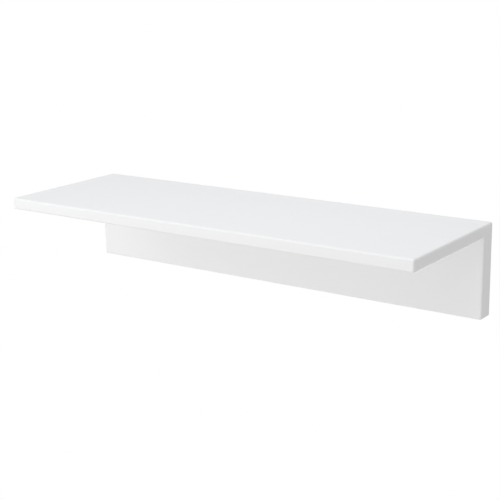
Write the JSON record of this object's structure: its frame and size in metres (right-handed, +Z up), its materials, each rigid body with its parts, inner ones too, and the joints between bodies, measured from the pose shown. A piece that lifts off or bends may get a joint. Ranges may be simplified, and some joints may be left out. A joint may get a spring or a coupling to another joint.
{
  "type": "floating wall shelf",
  "caption": "White L-shaped floating wall shelf: a thin shelf board over a thicker back box that hides the cam fittings, hanger clips and folded steel wall rail it hangs on.",
  "frame": {"origin": "on the wall, at the middle of the rail's row of screw slots", "axes": "+X along the shelf to the right as seen from the front, +Y into the wall, +Z up"},
  "size_m": [0.8, 0.265, 0.155],
  "materials": {
    "white_lacquer": "satin white lacquer on MDF, raw MDF inside the back",
    "beech": "plain fluted beech",
    "plated_screw_steel": "bright zinc plated",
    "cast_zinc": "dull die cast",
    "galvanised_sheet": "galvanised sheet"
  },
  "bodies": {
    "wall_mount": {"wall_rail": "galvanised_sheet"},
    "shelf": {"shelf_board": "white_lacquer", "back_panel": "white_lacquer", "top_batten": "white_lacquer", "bottom_batten": "white_lacquer", "end_batten_left": "white_lacquer", "end_batten_right": "white_lacquer", "dowel_1": "beech", "dowel_2": "beech", "dowel_3": "beech", "dowel_4": "beech", "cam_bolt_1": "plated_screw_steel", "cam_bolt_2": "plated_screw_steel", "cam_bolt_3": "plated_screw_steel", "cam_lock_1": "cast_zinc", "cam_lock_2": "cast_zinc", "cam_lock_3": "cast_zinc", "hanger_clip_left": "galvanised_sheet", "hanger_clip_right": "galvanised_sheet", "clip_screws": "plated_screw_steel"}
  },
  "joints": [
    {"name": "lift_off", "type": "slide", "parent": "wall_mount", "child": "shelf", "axis": [0, 0, 1], "range_m": [0, 0.013]}
  ]
}
